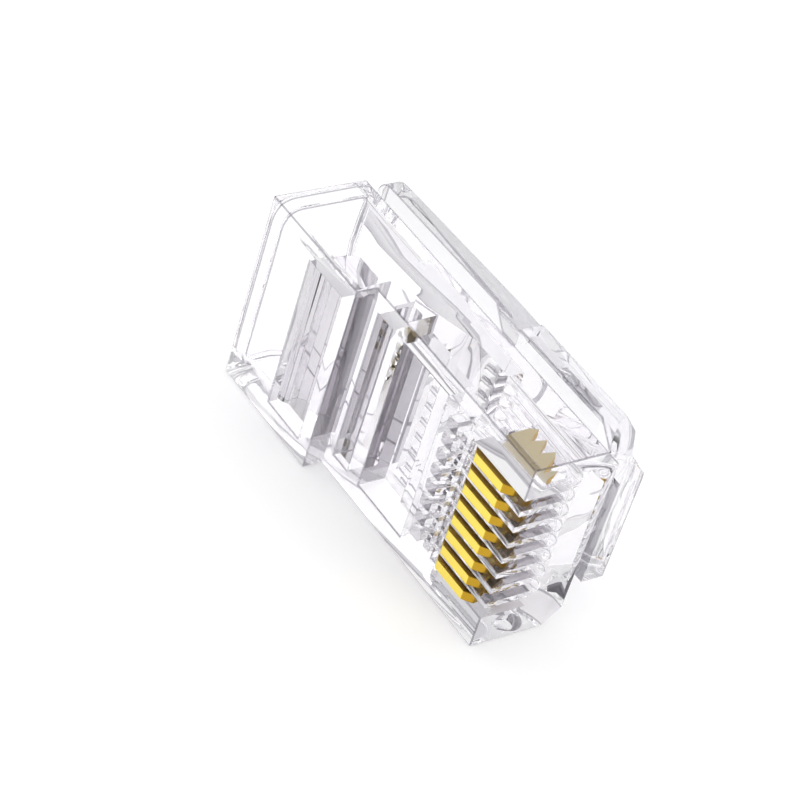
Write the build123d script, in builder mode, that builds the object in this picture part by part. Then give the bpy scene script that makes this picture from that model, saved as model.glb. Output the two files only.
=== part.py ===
from build123d import *
import os

os.makedirs("parts", exist_ok=True)

# Eight-position modular plug, millimetres.
# The plug lies on one side wall: +Z runs across the plug, from side wall to side wall,
# +X points to the nose (the end that enters the socket), +Y points to the latch side.
# Stations along the plug (x) are measured back from the nose face, depths (d) from the
# contact face at the nose towards the latch, offsets (y) from the middle of the width.

# ---------------------------------------------------------------- driving dimensions
WIDTH = 11.68            # across the two side walls
LENGTH = 22.00           # nose face to cable end
NOSE_H = 5.50            # contact face to latch-side face at the nose
STEP_H = 1.20            # the cable half stands this much prouder on the contact side
STEP_X = 14.00           # station of that step
EDGE_CH = 1.00           # bevel along the two latch-side edges
WALL = 1.00              # side walls

PITCH = 1.02             # contact spacing
POSITIONS = 8
BLADE_T = 0.56           # blade thickness
SLOT_W = 0.60            # narrow slot that guides the blade
TOP_SLOT_W = 0.64        # wider slot at the contact face and nose
BLADE_X = 2.60           # station of the blade's middle
BLADE_PROUD = 0.25       # head above the contact face before crimping
CRIMP_TRAVEL = 0.70      # the crimping die presses the blades in by this much

CHANNEL_R = 0.47         # wire channels
CHANNEL_D = 3.95         # their depth
CHANNEL_END = 1.25       # centre of the domed blind end
CHANNEL_MOUTH = 6.90     # where they open into the wire tray

CAV_TOP = -0.35          # cable cavity, contact side
CAV_BOT = 4.70           # cable cavity, latch side
CAV_HALF = WIDTH / 2 - WALL
MOUTH_RECESS = 0.70

JWIN_A, JWIN_B = 15.00, 18.00    # jacket window, front and rear
WWIN_A, WWIN_B = 12.05, 13.35    # wire window, front and rear
TRAY_END = 9.75          # rear end of the low wire tray
TROUGH_A, TROUGH_B = 6.95, 10.95  # trough behind the contact block
TROUGH_D = 1.70          # its floor
WIN_HALF = 4.70          # half length of windows and trough
BAR_HALF = 4.60          # half length of the two bars

LATCH_W = 6.20           # locking part of the latch
TAIL_W = 3.60            # thumb part of the latch
SHOULDER_X = 11.80       # locking shoulders
LATCH_END = 26.40        # station of the tail's end
LATCH_TOP = 11.10        # depth of the rib's and tail's outer face
FLANGE_TOP = 9.92        # depth of the locking part's outer face
LATCH_T = 1.50           # thickness of the locking part
KNUCKLE = (1.25, 7.15)   # the latch's flexing line (x, d)
KNUCKLE_R = 0.55

# ---------------------------------------------------------------- frame helpers
XN = LATCH_END / 2
YC = (LATCH_TOP - STEP_H) / 2


def px(x):
    return XN - x


def py(d):
    return d - YC


def pz(y):
    return y + WIDTH / 2


def pts(*xd):
    return [(px(x), py(d)) for x, d in xd]


ROWS = [(POSITIONS + 1) / 2 * PITCH - (i + 1) * PITCH for i in range(POSITIONS)]

# ---------------------------------------------------------------- housing
K = KNUCKLE
JB_PIVOT = (18.00, -0.42)        # web line of the jacket bar
JB_R = 0.20
with BuildPart() as housing:
    # outer block with the prouder cable half
    with BuildSketch(Plane.XY):
        with BuildLine():
            Polyline(*pts((0, 0), (STEP_X, 0), (STEP_X, -STEP_H), (LENGTH, -STEP_H),
                          (LENGTH, NOSE_H), (0, NOSE_H)), close=True)
        make_face()
    extrude(amount=WIDTH)
    chamfer(housing.edges().filter_by(Axis.X).group_by(Axis.Y)[-1], length=EDGE_CH)

    # root block of the latch, with the round seat that the latch's inner edge turns in
    with BuildSketch(Plane.XY.offset(pz(-LATCH_W / 2 - 0.20))):
        with BuildLine():
            Polyline(*pts((0, NOSE_H - 0.2), (0, 7.55), (0.35, 7.95), (0.95, 7.95), (2.15, 6.75), (2.15, NOSE_H - 0.2)), close=True)
        make_face()
    extrude(amount=LATCH_W + 0.40)
    # relief groove across the front of the root block
    with BuildSketch(Plane.XY.offset(pz(-LATCH_W / 2 - 0.30))):
        with BuildLine():
            Polyline(*pts((-0.2, NOSE_H), (0.70, NOSE_H), (0.70, NOSE_H + 0.65), (-0.2, NOSE_H + 0.65)), close=True)
        make_face()
    extrude(amount=LATCH_W + 0.60, mode=Mode.SUBTRACT)
    with BuildSketch(Plane.XY.offset(pz(-LATCH_W / 2 - 0.05))):
        with Locations((px(K[0]), py(K[1]))):
            Circle(KNUCKLE_R + 0.04)
        with BuildLine():
            Polyline(*pts((K[0] - 0.45, K[1] + 0.30), (K[0] - 0.45, 8.6), (3.0, 8.6),
                          (3.0, 6.70), (K[0] + 0.50, 6.70)), close=True)
        make_face()
    extrude(amount=LATCH_W + 0.10, mode=Mode.SUBTRACT)

    # cable cavity, open at the cable end, with rounded corners and a shallow recess at its mouth
    with BuildSketch(Plane(origin=(px(LENGTH + 1), 0, 0), x_dir=(0, 1, 0), z_dir=(1, 0, 0))):
        with Locations((py((CAV_TOP + CAV_BOT) / 2), pz(0))):
            RectangleRounded(CAV_BOT - CAV_TOP, 2 * CAV_HALF, 0.80)
    extrude(amount=LENGTH + 1 - JWIN_A, mode=Mode.SUBTRACT)
    with BuildSketch(Plane(origin=(px(LENGTH + 1), 0, 0), x_dir=(0, 1, 0), z_dir=(1, 0, 0))):
        with Locations((py((CAV_TOP + CAV_BOT) / 2), pz(0))):
            RectangleRounded(CAV_BOT - CAV_TOP + 0.60, 2 * CAV_HALF + 0.60, 1.10)
    extrude(amount=1 + MOUTH_RECESS, mode=Mode.SUBTRACT)
    # its front part slopes down to the wire tray in front of the channels
    with BuildSketch(Plane.XY.offset(pz(-CAV_HALF))):
        with BuildLine():
            Polyline(*pts((JWIN_A + 0.9, 1.30), (JWIN_A, 1.70), (TRAY_END, 3.45), (CHANNEL_MOUTH, 3.45),
                          (CHANNEL_MOUTH, 4.45), (TRAY_END, 4.45), (12.6, CAV_BOT), (JWIN_A + 0.9, CAV_BOT)), close=True)
        make_face()
    extrude(amount=2 * CAV_HALF, mode=Mode.SUBTRACT)

    # strain-relief windows and the trough behind the contact block
    with BuildSketch(Plane.XY.offset(pz(-WIN_HALF))):
        with BuildLine():
            Polyline(*pts((JWIN_A, -3), (JWIN_B, -3), (JWIN_B, 0.5), (JWIN_A, 0.5)), close=True)
        make_face()
        with BuildLine():
            Polyline(*pts((WWIN_A, -3), (WWIN_B, -3), (WWIN_B, 2.9), (WWIN_A, 3.2)), close=True)
        make_face()
        with BuildLine():
            Polyline(*pts((TROUGH_A, -3), (TROUGH_B, -3), (TROUGH_B, TROUGH_D), (TROUGH_A, TROUGH_D)), close=True)
        make_face()
        with Locations((px(JB_PIVOT[0]), py(JB_PIVOT[1]))):
            Circle(JB_R + 0.03)
    extrude(amount=2 * WIN_HALF, mode=Mode.SUBTRACT)

    # trough floor: a raised front half with a row of ticks, one for each wire, and a narrow
    # core-out along the rear wall
    with BuildSketch(Plane.XY.offset(pz(-WIN_HALF - 0.1))):
        with BuildLine():
            Polyline(*pts((TROUGH_A - 0.1, TROUGH_D - 0.25), (9.15, TROUGH_D - 0.25), (9.25, TROUGH_D + 0.1), (TROUGH_A - 0.1, TROUGH_D + 0.1)), close=True)
        make_face()
    extrude(amount=2 * (WIN_HALF + 0.1))
    with BuildSketch(Plane.XZ.offset(-py(TROUGH_D - 0.25))):
        with Locations(*[(px(9.40), pz(y)) for y in ROWS]):
            Rectangle(0.56, 0.34)
    extrude(amount=-0.40)
    with BuildSketch(Plane.XZ.offset(-py(TROUGH_D - 0.2))):
        with Locations((px(10.62), pz(0))):
            Rectangle(0.42, 7.20)
    extrude(amount=-1.25, mode=Mode.SUBTRACT)

    # inspection wells over the wires, and a row of small notches behind the contacts
    with BuildSketch(Plane.XZ.offset(-py(-0.5))):
        with Locations(*[(px(6.05), pz(y)) for y in ROWS]):
            RectangleRounded(0.84, 0.70, 0.16)
    extrude(amount=-1.80, mode=Mode.SUBTRACT)
    with BuildSketch(Plane.XZ.offset(-py(-0.5))):
        with Locations(*[(px(5.02), pz(y)) for y in ROWS]):
            Rectangle(0.44, 0.44)
        with Locations(*[(px(5.02), pz(y + PITCH / 2)) for y in ROWS[1:]]):
            Rectangle(0.26, 0.30)
    extrude(amount=-1.15, mode=Mode.SUBTRACT)

    # wire channels with domed blind ends
    with BuildSketch(Plane(origin=(px(CHANNEL_MOUTH + 0.2), 0, 0), x_dir=(0, 1, 0), z_dir=(1, 0, 0))):
        with Locations(*[(py(CHANNEL_D), pz(y)) for y in ROWS]):
            Circle(CHANNEL_R)
    extrude(amount=CHANNEL_MOUTH + 0.2 - CHANNEL_END, mode=Mode.SUBTRACT)
    with Locations(*[(px(CHANNEL_END), py(CHANNEL_D), pz(y)) for y in ROWS]):
        Sphere(CHANNEL_R, mode=Mode.SUBTRACT)

    # contact slots: wide at the contact face and nose, narrow around the blade
    for y in ROWS:
        with BuildSketch(Plane.XY.offset(pz(y - TOP_SLOT_W / 2))):
            with BuildLine():
                Polyline(*pts((-1, -1), (4.45, -1), (4.45, 1.85), (0.80, 1.85), (0.80, 2.75), (-1, 2.75)), close=True)
            make_face()
        extrude(amount=TOP_SLOT_W, mode=Mode.SUBTRACT)
        with BuildSketch(Plane.XY.offset(pz(y - SLOT_W / 2))):
            with BuildLine():
                Polyline(*pts((1.10, 1.0), (4.10, 1.0), (4.10, 4.22), (1.10, 4.22)), close=True)
            make_face()
        extrude(amount=SLOT_W, mode=Mode.SUBTRACT)

# ---------------------------------------------------------------- latch
with BuildPart() as latch:
    # wide locking part, its rear faces at the shoulders catch in the socket
    with BuildSketch(Plane.XY.offset(pz(-LATCH_W / 2))):
        with BuildLine():
            Polyline(*pts((K[0] - 0.33, K[1] + 0.42), (3.30, 9.72), (4.30, FLANGE_TOP + 0.06), (SHOULDER_X, FLANGE_TOP),
                          (SHOULDER_X, FLANGE_TOP - LATCH_T), (4.70, FLANGE_TOP - LATCH_T + 0.15),
                          (K[0] + 0.53, K[1] - 0.13), K), close=True)
        make_face()
        with Locations((px(K[0]), py(K[1]))):
            Circle(KNUCKLE_R)
    extrude(amount=LATCH_W)
    # narrow rib on top of it that goes on as the thumb tail, gusseted under the shoulders
    with BuildSketch(Plane.XY.offset(pz(-TAIL_W / 2))):
        with BuildLine():
            Polyline(*pts((4.60, 9.30), (4.60, FLANGE_TOP + 0.02), (7.60, LATCH_TOP), (15.20, LATCH_TOP),
                          (LATCH_END, LATCH_TOP - 0.40), (LATCH_END, LATCH_TOP - 1.50), (15.33, LATCH_TOP - 1.30),
                          (13.03, 8.60), (11.20, FLANGE_TOP - LATCH_T + 0.02), (11.20, 9.30)), close=True)
        make_face()
    extrude(amount=TAIL_W)
    # rounded thumb end
    fillet(latch.edges().filter_by(Axis.Y, tolerance=5).group_by(Axis.X)[0], radius=0.90)

# ---------------------------------------------------------------- jacket bar
with BuildPart() as jacket_bar:
    with BuildSketch(Plane.XY.offset(pz(-BAR_HALF))):
        with BuildLine():
            # the rear face steps back below the web, so that it clears the cavity's rounded corners
            Polyline(*pts((15.15, -0.30), (17.40, -0.30), (17.75, -0.58), (17.92, -0.58), (17.92, -0.42),
                          (17.72, -0.08), (17.72, 0.90), (17.35, 1.50), (15.70, 1.50), (15.15, 0.95)), close=True)
        make_face()
        with Locations((px(JB_PIVOT[0]), py(JB_PIVOT[1]))):
            Circle(JB_R)
    extrude(amount=2 * BAR_HALF)

# ---------------------------------------------------------------- wire bar
with BuildPart() as wire_bar:
    with BuildSketch(Plane.XY.offset(pz(-BAR_HALF))):
        with BuildLine():
            Polyline(*pts((12.15, 0.30), (13.25, 0.30), (13.25, 1.70), (12.95, 2.10), (12.45, 2.10), (12.15, 1.80)), close=True)
        make_face()
    extrude(amount=2 * BAR_HALF)

# ---------------------------------------------------------------- contact blades
# outline (u along the plug from the blade's middle, back positive; v from the head's top)
OUTLINE = [(-1.15, 0.0), (1.15, 0.0), (1.65, 0.46), (1.60, 1.02), (1.06, 1.10), (1.03, 1.46), (1.38, 1.62),
           (1.42, 2.10), (1.42, 3.28), (1.20, 3.67), (0.86, 3.10), (0.62, 2.78), (0.42, 3.62), (0.02, 3.06),
           (-0.28, 2.72), (-0.42, 3.55), (-0.78, 3.24), (-1.42, 2.10), (-1.42, 1.82), (-1.03, 1.46),
           (-1.06, 1.10), (-1.60, 1.02), (-1.65, 0.46)]


def blade(y):
    with BuildPart() as b:
        with BuildSketch(Plane.XY.offset(pz(y - BLADE_T / 2))):
            with BuildLine():
                Polyline(*pts(*[(BLADE_X + u, v - BLADE_PROUD) for u, v in OUTLINE]), close=True)
            make_face()
        extrude(amount=BLADE_T)
    return b


housing.part.label = "housing"
latch.part.label = "latch"
jacket_bar.part.label = "jacket_bar"
wire_bar.part.label = "wire_bar"
export_step(housing.part, "parts/housing.step")
export_step(latch.part, "parts/latch.step")
export_step(jacket_bar.part, "parts/jacket_bar.step")
export_step(wire_bar.part, "parts/wire_bar.step")
for i, y in enumerate(ROWS):
    contact = blade(y)
    contact.part.label = f"contact_{i + 1}"
    export_step(contact.part, f"parts/contact_{i + 1}.step")
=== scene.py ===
import math

import bmesh
import bpy
from mathutils import Matrix, Vector


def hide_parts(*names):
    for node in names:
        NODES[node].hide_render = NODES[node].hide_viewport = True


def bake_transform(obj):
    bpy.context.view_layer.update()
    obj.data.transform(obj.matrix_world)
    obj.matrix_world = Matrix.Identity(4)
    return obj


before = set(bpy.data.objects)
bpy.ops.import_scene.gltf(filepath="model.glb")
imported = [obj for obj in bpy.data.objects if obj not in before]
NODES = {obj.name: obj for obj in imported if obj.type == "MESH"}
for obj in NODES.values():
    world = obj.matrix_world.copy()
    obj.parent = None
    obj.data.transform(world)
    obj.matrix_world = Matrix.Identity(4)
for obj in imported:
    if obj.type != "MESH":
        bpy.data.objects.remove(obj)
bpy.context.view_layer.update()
scene = bpy.context.scene
scene.view_settings.view_transform = "Standard"
scene.cycles.max_bounces = 24
scene.cycles.glossy_bounces = 16
scene.cycles.transmission_bounces = 24
scene.cycles.transparent_max_bounces = 24

MM = 0.001
WORLD = 0.9
HORIZON = (0.46, 0.455, 0.48, 1)
MIDSKY = (0.72, 0.71, 0.74, 1)
KEY, FILL = 0.9, 0.35
XN, YC, HALF = 13.2, 4.95, 5.84      # nose station, depth of the middle, half width (mm)


def P(x, d, y):
    """Station behind the nose, depth from the contact face, offset across the plug (mm) to the frame (m)."""
    return Vector(((XN - x) * MM, (d - YC) * MM, (y + HALF) * MM))


# ---------------------------------------------------------------- materials
def new_mat(name):
    m = bpy.data.materials.new(name)
    m.use_nodes = True
    nt = m.node_tree
    nt.nodes.clear()
    return m, nt, nt.nodes, nt.links


def clear_plastic(name, tint, ior=1.20, bump=0.006, lamp=0.97):
    m, nt, N, L = new_mat(name)
    out = N.new("ShaderNodeOutputMaterial")
    mix = N.new("ShaderNodeMixShader")
    path = N.new("ShaderNodeLightPath")
    tr = N.new("ShaderNodeBsdfTransparent")
    tr.inputs["Color"].default_value = (lamp, lamp - 0.005, lamp + 0.005, 1)
    b = N.new("ShaderNodeBsdfPrincipled")
    b.inputs["Base Color"].default_value = tint
    b.inputs["Transmission Weight"].default_value = 1.0
    b.inputs["IOR"].default_value = ior
    b.inputs["Roughness"].default_value = 0.0
    co = N.new("ShaderNodeTexCoord")
    no = N.new("ShaderNodeTexNoise")
    no.inputs["Scale"].default_value = 260.0
    no.inputs["Detail"].default_value = 2.0
    bp = N.new("ShaderNodeBump")
    bp.inputs["Strength"].default_value = bump
    bp.inputs["Distance"].default_value = 0.0004
    L.new(co.outputs["Object"], no.inputs["Vector"])
    L.new(no.outputs["Fac"], bp.inputs["Height"])
    L.new(bp.outputs["Normal"], b.inputs["Normal"])
    L.new(path.outputs["Is Shadow Ray"], mix.inputs["Fac"])
    L.new(b.outputs["BSDF"], mix.inputs[1])
    L.new(tr.outputs["BSDF"], mix.inputs[2])
    L.new(mix.outputs["Shader"], out.inputs["Surface"])
    return m


def gold(name):
    m, nt, N, L = new_mat(name)
    out = N.new("ShaderNodeOutputMaterial")
    b = N.new("ShaderNodeBsdfPrincipled")
    b.inputs["Metallic"].default_value = 1.0
    co = N.new("ShaderNodeTexCoord")
    sep = N.new("ShaderNodeSeparateXYZ")
    mr = N.new("ShaderNodeMapRange")
    mr.inputs["From Min"].default_value = (0.9 - YC) * MM
    mr.inputs["From Max"].default_value = (1.9 - YC) * MM
    ramp = N.new("ShaderNodeValToRGB")
    ramp.color_ramp.elements[0].color = (1.0, 0.79, 0.15, 1)
    ramp.color_ramp.elements[1].color = (0.62, 0.54, 0.36, 1)
    no = N.new("ShaderNodeTexNoise")
    no.inputs["Scale"].default_value = 900.0
    no.inputs["Detail"].default_value = 4.0
    rr = N.new("ShaderNodeMapRange")
    rr.inputs["To Min"].default_value = 0.22
    rr.inputs["To Max"].default_value = 0.36
    bp = N.new("ShaderNodeBump")
    bp.inputs["Strength"].default_value = 0.05
    bp.inputs["Distance"].default_value = 0.0001
    L.new(co.outputs["Object"], sep.inputs["Vector"])
    L.new(sep.outputs["Y"], mr.inputs["Value"])
    L.new(mr.outputs["Result"], ramp.inputs["Fac"])
    # the stamped sides of the heads near the top are mixed towards brown, painted shade between the blades; the bevel
    # at the nose gets a deeper gold, painted shade by face direction
    nz = N.new("ShaderNodeSeparateXYZ")
    side = N.new("ShaderNodeMath")
    side.operation = "ABSOLUTE"
    sr = N.new("ShaderNodeMapRange")
    sr.inputs["From Min"].default_value = 0.6
    sr.inputs["From Max"].default_value = 0.9
    zone = N.new("ShaderNodeMapRange")
    zone.inputs["From Min"].default_value = (0.62 - YC) * MM
    zone.inputs["From Max"].default_value = (0.32 - YC) * MM
    both = N.new("ShaderNodeMath")
    both.operation = "MULTIPLY"
    # brown mixed onto the sides near the top of the heads: painted shade between the blades
    side_shade = N.new("ShaderNodeMix")
    side_shade.data_type = "RGBA"
    side_shade.inputs[7].default_value = (0.27, 0.155, 0.025, 1)
    nosr = N.new("ShaderNodeMapRange")
    nosr.inputs["From Min"].default_value = 0.3
    nosr.inputs["From Max"].default_value = 0.6
    # deeper gold for the bevel at the nose: painted shade by face direction
    nose_shade = N.new("ShaderNodeMix")
    nose_shade.data_type = "RGBA"
    nose_shade.inputs[7].default_value = (0.55, 0.33, 0.03, 1)
    L.new(co.outputs["Normal"], nz.inputs["Vector"])
    L.new(nz.outputs["Z"], side.inputs[0])
    L.new(side.outputs["Value"], sr.inputs["Value"])
    L.new(sep.outputs["Y"], zone.inputs["Value"])
    L.new(sr.outputs["Result"], both.inputs[0])
    L.new(zone.outputs["Result"], both.inputs[1])
    L.new(nz.outputs["X"], nosr.inputs["Value"])
    L.new(nosr.outputs["Result"], nose_shade.inputs["Factor"])
    L.new(ramp.outputs["Color"], nose_shade.inputs[6])
    L.new(nose_shade.outputs[2], side_shade.inputs[6])
    L.new(both.outputs["Value"], side_shade.inputs["Factor"])
    L.new(side_shade.outputs[2], b.inputs["Base Color"])
    L.new(co.outputs["Object"], no.inputs["Vector"])
    L.new(no.outputs["Fac"], rr.inputs["Value"])
    L.new(rr.outputs["Result"], b.inputs["Roughness"])
    L.new(no.outputs["Fac"], bp.inputs["Height"])
    L.new(bp.outputs["Normal"], b.inputs["Normal"])
    L.new(b.outputs["BSDF"], out.inputs["Surface"])
    return m


M_CLEAR = clear_plastic("clear_polycarbonate", (0.98, 0.975, 0.985, 1))
# edge radii and root groove tinted darker grey: painted shade along the edges and in the crease
M_EDGE = clear_plastic("edge_radii_painted_shade", (0.30, 0.29, 0.32, 1), lamp=0.80)
# walls of windows, trough and slots, and two sides of the bars, tinted mid grey: painted shade
M_WALL = clear_plastic("core_walls_painted_shade", (0.52, 0.505, 0.53, 1), lamp=0.90)
# sides of the tail tinted light grey: painted shade
M_SIDE = clear_plastic("tail_sides_painted_shade", (0.65, 0.65, 0.66, 1), lamp=0.93)
# the rest of the latch tinted a faint grey: painted shade
M_LATCH = clear_plastic("latch_painted_shade", (0.88, 0.88, 0.89, 1), lamp=0.95)
M_GOLD = gold("gold_over_nickel")


def dress(node, mat, bevel, segments=2, edge=None):
    o = NODES[node]
    o.data.materials.clear()
    o.data.materials.append(mat)
    if edge:
        o.data.materials.append(edge)
        o.data.materials.append(M_WALL)
    for p in o.data.polygons:
        # the faces of the bars that look at the nose and at the contact side take the grey of the core walls: painted
        # shade on those sides
        p.material_index = 2 if edge and (p.normal.x > 0.7 or p.normal.y < -0.7) else 0
    w = o.modifiers.new("weld", "WELD")
    w.merge_threshold = 1e-6
    d = o.modifiers.new("planar", "DECIMATE")
    d.decimate_type = "DISSOLVE"
    d.angle_limit = math.radians(1.5)
    b = o.modifiers.new("edges", "BEVEL")
    b.width = bevel * MM
    b.segments = segments
    b.limit_method = "ANGLE"
    b.angle_limit = math.radians(28)
    b.use_clamp_overlap = True
    b.harden_normals = False
    if edge:
        # the radii of the bars take the darker grey of the edge material: painted shade along the edges
        b.material = 1
    return o


def extruded(name, profile, half):
    """A closed prism: (station, depth) profile in mm, from -half to +half across the plug."""
    bm = bmesh.new()
    lo = [bm.verts.new(P(x, d, -half)) for x, d in profile]
    hi = [bm.verts.new(P(x, d, half)) for x, d in profile]
    n = len(profile)
    bm.faces.new(lo)
    bm.faces.new(hi[::-1])
    for i in range(n):
        bm.faces.new((lo[i], hi[i], hi[(i + 1) % n], lo[(i + 1) % n]))
    bmesh.ops.recalc_face_normals(bm, faces=bm.faces)
    me = bpy.data.meshes.new(name)
    bm.to_mesh(me)
    bm.free()
    o = bpy.data.objects.new(name, me)
    scene.collection.objects.link(o)
    return o


def copy_of(node, name):
    o = bpy.data.objects.new(name, NODES[node].data.copy())
    scene.collection.objects.link(o)
    bm = bmesh.new()
    bm.from_mesh(o.data)
    bmesh.ops.remove_doubles(bm, verts=bm.verts, dist=1e-6)
    bm.to_mesh(o.data)
    bm.free()
    return o


def united(base, others):
    """base with the others joined to it, as one closed mesh."""
    for other in others:
        b = base.modifiers.new("join", "BOOLEAN")
        b.operation = "UNION"
        b.solver = "EXACT"
        b.object = other
    dg = bpy.context.evaluated_depsgraph_get()
    me = bpy.data.meshes.new_from_object(base.evaluated_get(dg))
    base.modifiers.clear()
    base.data = me
    for other in others:
        bpy.data.objects.remove(other)
    return base


def surface(f):
    """Which material a face of the moulding gets: 0 the clear outside, 1 the root groove, 2 the walls of windows,
    trough and slots, 3 the sides of the tail, 4 the rest of the latch; 1 to 4 are grey tints of painted shade.
    """
    c = f.calc_center_median() / MM
    x, d, y = XN - c.x, c.y + YC, c.z - HALF
    nx, ny, nz = (abs(v) for v in f.normal)
    if d > 8.2:
        return 3 if nz > 0.7 and x > 13.4 else 4
    # the root groove takes the darker grey of the edge radii: painted shade in the crease
    if 5.55 < d < 6.2 and x < 0.75:
        return 1
    if abs(y) < 4.8:
        if 6.6 < x < 18.6 and -1.15 < d < 3.4 and nx > 0.7:
            return 2
        if 0.1 < x < 4.6 and 0.05 < d < 2.9 and nz > 0.7:
            return 2
        if 4.6 < x < 6.7 and 0.05 < d < 1.4:
            return 2
    return 0


def soften(o, width, least=0.45, segments=2):
    """Small radii on the edges that are long enough to carry them; smooth shading over the round faces."""
    bm = bmesh.new()
    bm.from_mesh(o.data)
    bmesh.ops.remove_doubles(bm, verts=bm.verts, dist=1e-6)
    bmesh.ops.dissolve_limit(bm, angle_limit=math.radians(1.5), verts=bm.verts, edges=bm.edges)
    sharp = {e for e in bm.edges if e.is_manifold and e.calc_face_angle(0) > math.radians(28)}
    tight = {v for e in sharp if e.calc_length() < 3 * width * MM for v in e.verts}
    tight |= {v for e in bm.edges if e.calc_length() < 2.3 * width * MM for v in e.verts}
    # the rim of the cable mouth and the outline of the tail are chains with short edges round their corners
    def in_chain(v):
        x, d, y = XN - v.co.x / MM, v.co.y / MM + YC, v.co.z / MM - HALF
        return (x > 21.2 and abs(y) < 5.6 and -1.0 < d < 5.2) or (x > 15.1 and d > 9.3)
    rim = [e for e in sharp if e.is_convex and in_chain(e.verts[0]) and in_chain(e.verts[1])]
    # the ends of the root groove meet the housing in corners too small for a radius
    tight |= {v for v in bm.verts if XN - v.co.x / MM < 1.2 and 5.3 < v.co.y / MM + YC < 6.4 and abs(v.co.z / MM - HALF) < 4.0}
    # the ledges inside the contact slots are too narrow for a radius
    tight |= {v for v in bm.verts if XN - v.co.x / MM < 4.7 and v.co.y / MM + YC > 0.3 and abs(v.co.z / MM - HALF) < 4.6 and v.co.y / MM + YC < 4.6}
    chosen = [e for e in sharp if e.is_convex and e.calc_length() > least * MM and not (e.verts[0] in tight or e.verts[1] in tight)]
    chosen = list(set(chosen) | set(rim))
    for f in bm.faces:
        f.material_index = surface(f)
    # the new radii take material 1, the darker grey of painted shade along the edges
    bmesh.ops.bevel(bm, geom=chosen, offset=width * MM, segments=segments, profile=0.5, affect="EDGES", clamp_overlap=False, material=1)
    open_edges = sum(not e.is_manifold for e in bm.edges)
    bm.to_mesh(o.data)
    bm.free()
    for p in o.data.polygons:
        p.use_smooth = True
    o.data.set_sharp_from_angle(angle=math.radians(32))
    print("soften", o.name, "edges", len(chosen), "of", len(sharp), "open", open_edges, "faces", len(o.data.polygons))
    return o


# housing and latch are one moulding: the flexing root joins them
root = extruded("root", [(0.50, 7.60), (0.66, 7.95), (1.16, 8.20), (1.62, 8.20), (2.40, 7.30), (2.00, 6.90), (1.60, 6.50), (0.80, 6.40)], 3.20)
moulding = united(copy_of("housing", "moulding"), [copy_of("latch", "latch_copy"), root])
moulding.data.materials.clear()
# the clear plastic and the four grey tints of painted shade
for surface_material in (M_CLEAR, M_EDGE, M_WALL, M_SIDE, M_LATCH):
    moulding.data.materials.append(surface_material)
soften(moulding, 0.07)
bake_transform(moulding)
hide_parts("housing", "latch")

dress("jacket_bar", M_CLEAR, 0.06, edge=M_EDGE)
dress("wire_bar", M_CLEAR, 0.06, edge=M_EDGE)
for i in range(1, 9):
    dress(f"contact_{i}", M_GOLD, 0.035)

# ---------------------------------------------------------------- stage
bpy.ops.mesh.primitive_grid_add(x_subdivisions=4, y_subdivisions=4, size=1.6, location=(0, 0, -0.00004))
floor = bpy.context.object
floor.name = "floor"
fm, nt, N, L = new_mat("pale_floor")
out = N.new("ShaderNodeOutputMaterial")
b = N.new("ShaderNodeBsdfPrincipled")
b.inputs["Base Color"].default_value = (0.93, 0.93, 0.93, 1)
b.inputs["Roughness"].default_value = 0.9
b.inputs["Specular IOR Level"].default_value = 0.0
L.new(b.outputs["BSDF"], out.inputs["Surface"])
floor.data.materials.append(fm)

w = bpy.data.worlds.new("studio")
scene.world = w
w.use_nodes = True
nt = w.node_tree
nt.nodes.clear()
N, L = nt.nodes, nt.links
wo = N.new("ShaderNodeOutputWorld")
bg = N.new("ShaderNodeBackground")
bg.inputs["Strength"].default_value = WORLD
co = N.new("ShaderNodeTexCoord")
sep = N.new("ShaderNodeSeparateXYZ")
ramp = N.new("ShaderNodeValToRGB")
ramp.color_ramp.interpolation = "EASE"
e = ramp.color_ramp.elements
e[0].position, e[0].color = 0.0, HORIZON
e[1].position, e[1].color = 0.75, (1.0, 1.0, 1.0, 1)
mid = e.new(0.18)
mid.color = MIDSKY
L.new(co.outputs["Generated"], sep.inputs["Vector"])
L.new(sep.outputs["Z"], ramp.inputs["Fac"])
L.new(ramp.outputs["Color"], bg.inputs["Color"])
L.new(bg.outputs["Background"], wo.inputs["Surface"])


def area(name, loc, target, size, power, color=(1, 1, 1)):
    li = bpy.data.lights.new(name, "AREA")
    li.shape = "RECTANGLE"
    li.size, li.size_y = size
    li.energy = power
    li.color = color
    o = bpy.data.objects.new(name, li)
    scene.collection.objects.link(o)
    o.location = loc
    o.rotation_euler = (Vector(target) - Vector(loc)).to_track_quat("-Z", "Y").to_euler()
    return o


area("key", (0.10, -0.30, 0.40), (0, 0, 0.005), (0.30, 0.30), KEY)
area("fill", (0.35, 0.10, 0.25), (0, 0, 0.005), (0.25, 0.25), FILL)

# ---------------------------------------------------------------- camera at the photograph's angle
cam_data = bpy.data.cameras.new("camera")
cam_data.lens = 130.04
cam_data.sensor_width = 36.0
cam_data.clip_start = 0.01
cam_data.clip_end = 20.0
cam = bpy.data.objects.new("camera", cam_data)
scene.collection.objects.link(cam)
right = Vector((0.5340484509741383, 0.8075939887480221, 0.2501683460196007))
down = Vector((0.6331607886209754, -0.1859525724137955, -0.751351486699505))
fwd = Vector((-0.5602674966165606, 0.559654884862762, -0.6106445300535006))
C = Vector((83.27951222113574, -84.94029382434219, 94.97710293551538)) * MM
m = Matrix.Identity(4)
for r in range(3):
    m[r][0], m[r][1], m[r][2], m[r][3] = right[r], -down[r], -fwd[r], C[r]
cam.matrix_world = m
scene.camera = cam
